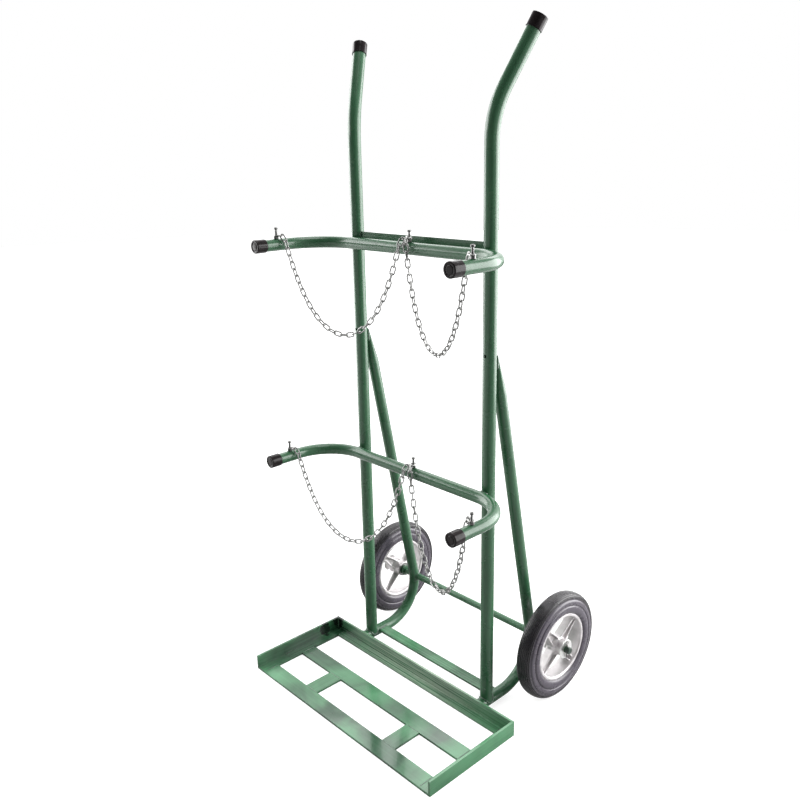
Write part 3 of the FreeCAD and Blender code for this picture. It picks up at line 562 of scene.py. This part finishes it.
def band(here, there, count):
    """Faces between two rings of count points that start at here and there."""
    return [[here + index, here + (index + 1) % count, there + (index + 1) % count,
             there + index] for index in range(count)]


def stack(rows, matrix, closed=False):
    """Shell over rings of equally many points, capped at both ends or closed on itself."""
    points = [matrix @ Vector(point) for row in rows for point in row]
    count = len(rows[0])
    last = len(points) - count
    faces = [] if closed else [list(range(count)), [last + index for index in range(count)]]
    for start in range(0, last, count):
        faces += band(start, start + count, count)
    if closed:
        faces += band(last, 0, count)
    return points, faces


def turned(outline, matrix, segments=64):
    """Shell of a closed (radius, along) outline turned about Z; it may depend on the angle."""
    rows = []
    for angle in angles(segments):
        section = outline(angle) if callable(outline) else outline
        rows.append([(radius * math.cos(angle), radius * math.sin(angle), along)
                     for radius, along in section])
    return stack(rows, matrix, closed=True)


def along_path(path):
    """Distance of each point of a path from its first."""
    lengths = [0.0]
    for here, there in zip(path, path[1:]):
        lengths.append(lengths[-1] + (there - here).length)
    return lengths


# ---------------------------------------------------------------- end caps

CAP_LENGTH, CAP_END, CAP_WALL = 26.0, 3.0, 1.8
HANDLE_CAP_R, HOOP_CAP_R = 16.05, 14.8
HANDLE_LEAN, HANDLE_SPLAY = math.radians(28), math.radians(36.4)


def cap_outline(radius):
    """Half section of a moulded cap: rounded rim and a shallow ring on its closed end."""
    open_end = CAP_END - CAP_LENGTH
    return rounded([
        (radius - CAP_WALL, open_end, 0.4), (radius - 0.1, open_end, 0.6),
        (radius, -6.0, 0), (radius, CAP_END, 2.8), (radius - 4.2, CAP_END, 0.5),
        (radius - 5.0, CAP_END - 1.3, 0.4), (radius - 6.2, CAP_END - 1.3, 0.4),
        (radius - 7.0, CAP_END - 0.4, 0.6), (0.0, CAP_END - 0.2, 0), (0.0, 0.0, 0),
        (radius - CAP_WALL, 0.0, 0)], 0.4, 5)


def add_cap(node_name, radius, outward):
    seat = middle(node_name) - Vector(outward) * (CAP_END - CAP_LENGTH / 2) * MM
    shell = turned(cap_outline(radius), pose(seat, outward), segments=72)
    add_piece(node_name + "_moulded", [shell], "black_cap", hides=[node_name])


for side, sign in SIDES:
    add_cap(side + "_handle_cap", HANDLE_CAP_R,
            (sign * math.sin(HANDLE_LEAN) * math.sin(HANDLE_SPLAY),
             math.sin(HANDLE_LEAN) * math.cos(HANDLE_SPLAY), math.cos(HANDLE_LEAN)))
    for level in LEVELS:
        add_cap("%s_%s_hoop_cap" % (level, side), HOOP_CAP_R, (0, -1, 0))


# ---------------------------------------------------------------- hubs and outer washers

CASTING_VOXEL, CASTING_SMOOTHING, CASTING_ROUNDS = 0.0011, 0.5, 5
WASHER_R, WASHER_BORE, WASHER_THICKNESS = 22.0, 8.1, 2.5

for side, _ in SIDES:
    hub = nodes[side + "_wheel_hub"]
    casting = hub.modifiers.new("casting_skin", "REMESH")
    casting.mode = "VOXEL"
    casting.voxel_size = CASTING_VOXEL
    casting.use_smooth_shade = True
    fillets = hub.modifiers.new("casting_fillets", "SMOOTH")
    fillets.factor, fillets.iterations = CASTING_SMOOTHING, CASTING_ROUNDS

low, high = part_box("outer_wheel_washers")
washer_outline = rounded([
    (WASHER_BORE, 0.0, 0.3), (WASHER_BORE, -WASHER_THICKNESS, 0.3),
    (WASHER_R, -WASHER_THICKNESS, 0.5), (WASHER_R, 0.0, 0.9)], 0.5)
washer_shells = []
for _, sign in SIDES:
    face = Vector((sign * high[0], (low[1] + high[1]) / 2, (low[2] + high[2]) / 2))
    washer_shells.append(turned(washer_outline, pose(face, (sign, 0, 0))))
add_piece("wide_outer_washers", washer_shells, "zinc_steel", hides=["outer_wheel_washers"],
          finish=zinc_steel("washer_zinc", 0.80, 0.16))


# ---------------------------------------------------------------- tyres

# one side of the tyre, from the rim's seat outwards: across, radius, corner rounding
TYRE_FLANK = ((15.0, 76.0, 0), (15.0, 80.0, 0), (18.0, 80.0, 0.4), (19.0, 81.0, 0.6),
              (21.0, 84.0, 1.6), (22.0, 88.0, 1.6), (22.0, 94.0, 1.4), (21.2, 97.2, 0.8),
              (19.2, 98.2, 0.6), (19.2, 100.2, 0.6), (20.6, 101.6, 1.0), (20.2, 107.5, 1.5),
              (18.8, 110.4, 1.0), (16.8, 111.2, 0.6), (16.8, 113.0, 0.6))
# the ribbed shoulder and tread up to the middle of the tread: across, radius
TREAD_CURVE = ((17.6, 114.2), (17.2, 117.6), (15.6, 120.8), (12.8, 123.4), (9.0, 125.0),
               (4.6, 125.8), (0.0, 126.0))
RIBS = 11
# a rib's crest and the groove after it: share of the pitch, depth, corner rounding
RIB_CREST = ((0.10, 0.25, 0.4), (0.24, 0.0, 0.4), (0.68, 0.0, 0.4), (0.82, 0.25, 0.4))
RIB_GROOVE = ((0.90, 1.6, 0.3), (1.02, 1.6, 0.3))


def tyre_outline():
    """Closed (radius, across) half section with fine ribs round the shoulder and tread."""
    half = [Vector(point) for point in TREAD_CURVE]
    curve = [Vector((-point.x, point.y)) for point in half] + half[-2::-1]
    lengths = along_path(curve)

    def on_curve(distance):
        """Spot on the tread curve and the direction out of the rubber there."""
        index = 0
        while distance > lengths[index + 1] and index < len(curve) - 2:
            index += 1
        run = curve[index + 1] - curve[index]
        share = (distance - lengths[index]) / (lengths[index + 1] - lengths[index])
        return curve[index] + run * share, Vector((-run.y, run.x)).normalized()

    pitch = lengths[-1] / RIBS
    ribs = []
    for number in range(RIBS):
        last = number == RIBS - 1
        for share, depth, size in RIB_CREST + (() if last else RIB_GROOVE):
            spot, outward = on_curve((number + share) * pitch)
            ribs.append((*(spot - outward * depth), size))
    left_flank = [(-across, radius, size) for across, radius, size in TYRE_FLANK]
    section = rounded(left_flank + ribs + list(TYRE_FLANK[::-1]), 0.5, 2)
    return [(point.y, point.x) for point in section]


for side, _ in SIDES:
    seat = pose(middle(side + "_wheel_tyre"), (1, 0, 0))
    shell = turned(tyre_outline(), seat, segments=160)
    add_piece(side + "_tyre_ribbed", [shell], "tyre_rubber", side + "_wheel",
              [side + "_wheel_tyre"])


# ---------------------------------------------------------------- studs and nuts

SHANK_R, THREAD_PITCH, THREAD_DEPTH = 2.85, 1.25, 0.45
STUD_DEPTH, THREAD_END, STUD_CORNERS, ROWS_PER_PITCH = 5.0, 17.5, 24, 6
# neck and rounded head above the thread: radius, height
STUD_HEAD = ((2.3, 17.8), (2.2, 19.6), (2.5, 20.2), (4.0, 20.5), (4.3, 21.0), (4.35, 22.6),
             (4.1, 23.6), (3.4, 24.4), (2.2, 24.85), (0.8, 25.0))
NUT_FLAT, NUT_HEIGHT, NUT_BORE = 5.0, 5.0, SHANK_R - 0.1
CHAMFER_CUT, CHAMFER_SLOPE, CHAMFER_RISES = 0.2, 1.9, (0.0, 0.2, 0.45, 0.8)
ARM_STUD_Y, STUD_TURN = -0.154, 0.7


def thread_radius(angle, height):
    phase = (height / THREAD_PITCH - angle / (2 * math.pi)) % 1.0
    return SHANK_R - THREAD_DEPTH * abs(2 * phase - 1)


def ring_of(radius, height):
    """Ring of points at a height; radius is a function of the angle and height."""
    ring = []
    for angle in angles(STUD_CORNERS):
        size = radius(angle, height)
        ring.append((size * math.cos(angle), size * math.sin(angle), height))
    return ring


def threaded_stud():
    """Rows of a threaded stud with a neck and a small rounded head, seated at height 0."""
    threaded = THREAD_END + STUD_DEPTH
    steps = int(threaded / THREAD_PITCH * ROWS_PER_PITCH)
    rows = [ring_of(thread_radius, -STUD_DEPTH + threaded * step / steps)
            for step in range(steps + 1)]
    return rows + [ring_of(lambda *_, size=size: size, height) for size, height in STUD_HEAD]


def nut_section(angle):
    """Closed (radius, along) outline of a chamfered hexagon nut at an angle."""
    reach = NUT_FLAT / math.cos((angle + math.pi / 6) % (math.pi / 3) - math.pi / 6)
    foot = [(min(reach, NUT_FLAT - CHAMFER_CUT + rise * CHAMFER_SLOPE), rise)
            for rise in CHAMFER_RISES]
    crown = [(radius, NUT_HEIGHT - rise) for radius, rise in foot[::-1]]
    return [(NUT_BORE, 0.0)] + foot + crown + [(NUT_BORE, NUT_HEIGHT)]


stud_shells, nut_shells = [], []
for level in LEVELS:
    low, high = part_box(level + "_hoop")
    tube_radius = (high[2] - low[2]) / 2
    arm, back, top = high[0] - tube_radius, high[1] - tube_radius, high[2]
    for number, (x, y) in enumerate(((-arm, ARM_STUD_Y), (0.0, back), (arm, ARM_STUD_Y))):
        seat = Matrix.Translation((x, y, top)) @ Matrix.Rotation(STUD_TURN * number, 4, "Z")
        stud_shells.append(stack(threaded_stud(), seat @ MM_TO_M))
        nut_shells.append(turned(nut_section, seat @ MM_TO_M, segments=72))
add_piece("threaded_studs", stud_shells, "zinc_steel", hides=["chain_studs"], finish=DARK_ZINC)
add_piece("chamfered_nuts", nut_shells, "zinc_steel", hides=["chain_stud_nuts"],
          finish=DARK_ZINC)


# ---------------------------------------------------------------- weld beads

# a bead's rings, and how its radius ripples, wobbles and tapers; lengths are shares of the radius
BEAD_CORNERS, BEAD_STEP, BEAD_MIN_STEPS = 10, 0.30, 6
BEAD_SCALE, BEAD_RIPPLE, RIPPLE_LENGTH = 0.80, 0.26, 1.15
BEAD_WOBBLE, WOBBLES_PER_MM = 0.16, 0.21
BEAD_TIP, TIP_LENGTH = 0.35, 1.3

# the frame's main measures, in millimetres
UPRIGHT_X, UPRIGHT_R, TUBE_R = 197.0, 14.25, 13.0
FOOT_Z, AXLE_BACK, AXLE_Z = 20.0, 157.0, 126.0
TRAY_HALF, TRAY_FRONT, TRAY_BACK, LEG, THICK = 301.0, 283.0, 27.0, 31.0, 5.0
# where the welds sit, in millimetres and degrees
HOOP_WELD_R, HOOP_WELD_LIFT, HOOP_WELD_FROM, HOOP_WELD_TO = 17.0, 6.4, 56, 124
STRIP_HALF, STRIP_MARGIN = 3.2, 1.5
FOOT_BAR_INSET, FOOT_BAR_FRONT, FOOT_BAR_REAR, FOOT_BAR_TOP = 11.6, 16.0, 41.0, 27.2
TIP_Z, TIP_HALF, TIP_DROP = 817.0, 7.5, 26.0
AXLE_WELD_R, BRACE_LEAN, BRACE_OFFSET = 9.0, math.radians(3.3), 3.9
MIDDLE_BAR_FRONT, CROSS_BAR_X, CROSS_BAR_HALF = 171.0, 135.0, 18.0
CROSS_BAR_SEATS = -243.0, -171.0

welds = {label: [] for label in ("hoop", "strip", "foot", "brace_tip", "axle", "tray")}


def add_weld(label, path, radius, closed=False):
    """Bead of overlapping scales along a path of points in millimetres."""
    spots = [Vector(point) for point in path]
    if closed:
        spots.append(spots[0].copy())
    lengths = along_path(spots)
    total = lengths[-1]
    count = max(BEAD_MIN_STEPS, int(total / (radius * BEAD_STEP)))
    rows = []
    for step in range(count if closed else count + 1):
        distance = total * step / count
        index = max(i for i in range(len(spots) - 1) if lengths[i] <= distance + 1e-9)
        share = (distance - lengths[index]) / max(lengths[index + 1] - lengths[index], 1e-9)
        spot = spots[index].lerp(spots[index + 1], share)
        along = (spots[index + 1] - spots[index]).normalized()
        across = along.orthogonal() if abs(along.z) > 0.99 else along.cross(UP)
        across.normalize()
        over = across.cross(along)
        scale = BEAD_SCALE + BEAD_RIPPLE * abs(
            math.sin(math.pi * distance / (radius * RIPPLE_LENGTH)))
        scale += BEAD_WOBBLE * noise.noise(spot * WOBBLES_PER_MM)
        if not closed:
            scale *= min(1.0, BEAD_TIP + min(distance, total - distance) / (radius * TIP_LENGTH))
        rows.append([spot + (across * math.cos(turn) + over * math.sin(turn)) * radius * scale
                     for turn in angles(BEAD_CORNERS)])
    welds[label].append(stack(rows, MM_TO_M, closed))


def arc(centre, first, second, start, end, count=24):
    """Points of centre + first * cos + second * sin between two angles in degrees."""
    centre, first, second = Vector(centre), Vector(first), Vector(second)
    turns = [math.radians(start + (end - start) * k / count) for k in range(count + 1)]
    return [centre + first * math.cos(turn) + second * math.sin(turn) for turn in turns]


def chord(off):
    """Half width of the frame's round tube, this far off its middle."""
    return math.sqrt(max(TUBE_R ** 2 - off ** 2, 0.0))


def weld_upright(x, sign):
    """Beads of one upright: hoops, cross strip, foot on the brace and brace tip."""
    for level in LEVELS:
        height = middle(level + "_hoop").z / MM
        for lift in (-HOOP_WELD_LIFT, HOOP_WELD_LIFT):
            add_weld("hoop", arc((x, 1.0, height + lift), (HOOP_WELD_R, 0, 0),
                                 (0, -HOOP_WELD_R, 0), HOOP_WELD_FROM, HOOP_WELD_TO), radius=3.3)
    strip_low, strip_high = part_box("upper_cross_strip")
    corner = x - sign * (UPRIGHT_R - 0.4)
    for y in (-STRIP_HALF, STRIP_HALF):
        add_weld("strip", [(corner, y, strip_low[2] / MM + STRIP_MARGIN),
                           (corner, y, strip_high[2] / MM - STRIP_MARGIN)], radius=2.3)
    saddle = []
    for turn in angles(48):
        across = UPRIGHT_R * math.cos(turn)
        saddle.append((x + across, UPRIGHT_R * math.sin(turn), FOOT_Z + max(chord(across), 1.0)))
    add_weld("foot", saddle, radius=2.4, closed=True)
    y, root, top = UPRIGHT_R + 1.2, TIP_Z - TIP_DROP, TIP_Z - 4
    shoulder, shoulder_y = TIP_HALF + 0.1, UPRIGHT_R + 0.8
    add_weld("brace_tip", [(x - TIP_HALF, y, root), (x - shoulder, shoulder_y, top)]
             + arc((x, UPRIGHT_R + 1.4, TIP_Z - 3), (7.4, 0, 0), (0, 0, 5.0), 170, 10, 10)
             + [(x + shoulder, shoulder_y, top), (x + TIP_HALF, y, root)], radius=2.4)


def weld_brace(x, sign):
    """Beads of one brace: its end on the tray, the foot bar and the axle."""
    end = arc((x, -TRAY_BACK + 1.2, FOOT_Z), (TUBE_R, 0, 0), (0, 0, TUBE_R), 0, 360, 40)
    add_weld("foot", end[:-1], radius=2.2, closed=True)
    edge = x - sign * FOOT_BAR_INSET
    add_weld("foot", [(edge, FOOT_BAR_FRONT, FOOT_BAR_TOP), (edge, FOOT_BAR_REAR, FOOT_BAR_TOP)],
             radius=2.3)
    for face in (-1, 1):
        collar = []
        for turn in angles(36):
            back, rise = AXLE_WELD_R * math.cos(turn), AXLE_WELD_R * math.sin(turn)
            off = back * math.cos(BRACE_LEAN) + rise * math.sin(BRACE_LEAN) + BRACE_OFFSET
            reach = chord(off) if abs(off) < TUBE_R else 2.0
            collar.append((x + face * max(reach, 3.0), AXLE_BACK + back, AXLE_Z + rise))
        add_weld("axle", collar, radius=1.9, closed=True)


def weld_tray(sign):
    """Beads of one end of the tray: its corner, the bars on the angle and the short bar."""
    x, y = sign * (TRAY_HALF - THICK - 0.6), -TRAY_BACK - THICK - 0.6
    add_weld("tray", [(x, y, 6.0), (x, y, 34.0)], radius=2.0)
    seam, level = sign * (TRAY_HALF - LEG), THICK - 1.0
    for front in (TRAY_FRONT, MIDDLE_BAR_FRONT):
        add_weld("tray", [(seam, -front + 2.0, level), (seam, -front + 38.0, level)], radius=1.5)
    add_weld("tray", [(seam, -TRAY_BACK - 25.0, level), (seam, -TRAY_BACK - 6.0, level)],
             radius=1.5)
    for y in CROSS_BAR_SEATS:
        add_weld("tray", [(sign * CROSS_BAR_X - CROSS_BAR_HALF, y, level),
                          (sign * CROSS_BAR_X + CROSS_BAR_HALF, y, level)], radius=1.4)


for _, sign in SIDES:
    weld_upright(sign * UPRIGHT_X, sign)
    weld_brace(sign * UPRIGHT_X, sign)
    weld_tray(sign)

weld_finish = welded_paint()
for label, shells in welds.items():
    add_piece(label + "_welds", shells, "green_paint", finish=weld_finish)
